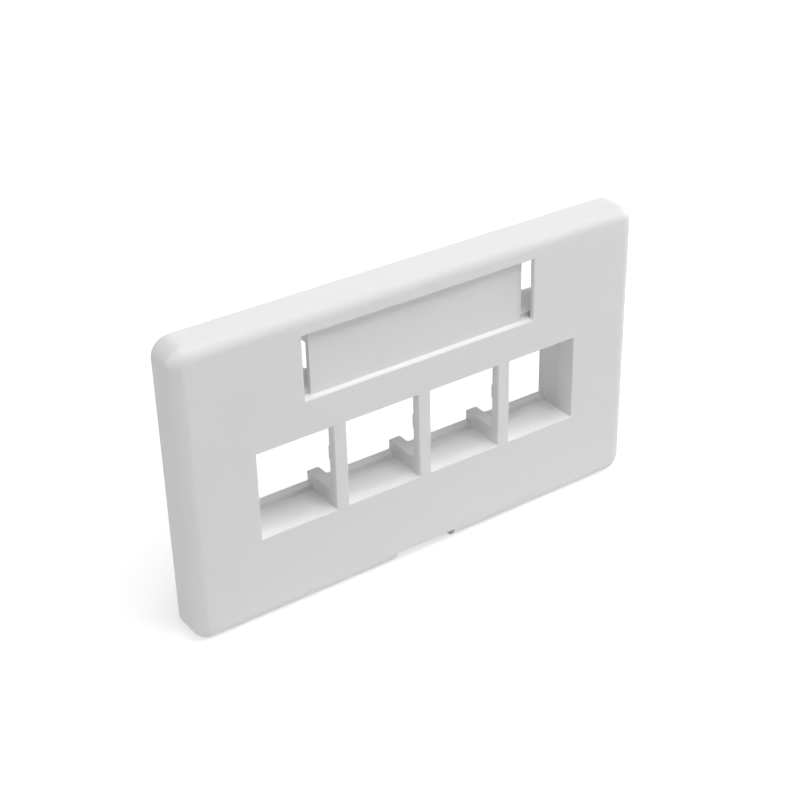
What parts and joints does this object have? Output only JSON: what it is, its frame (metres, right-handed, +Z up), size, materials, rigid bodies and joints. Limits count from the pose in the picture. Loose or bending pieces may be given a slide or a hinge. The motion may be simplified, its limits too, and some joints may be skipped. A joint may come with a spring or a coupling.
{
  "type": "keystone faceplate",
  "caption": "Moulded faceplate with a row of keystone jack ports, a sunken label field above them, a pry notch below and snap catches behind.",
  "frame": {"origin": "centre of the bounding box, on the plate's lower edge", "axes": "+X along the row of ports, to the right seen from the front; the front face looks along -Y; +Z up"},
  "size_m": [0.0932, 0.012, 0.055],
  "materials": {
    "plastic": "fine satin, moulded off-white"
  },
  "bodies": {
    "root": {"faceplate": "plastic"}
  },
  "joints": []
}
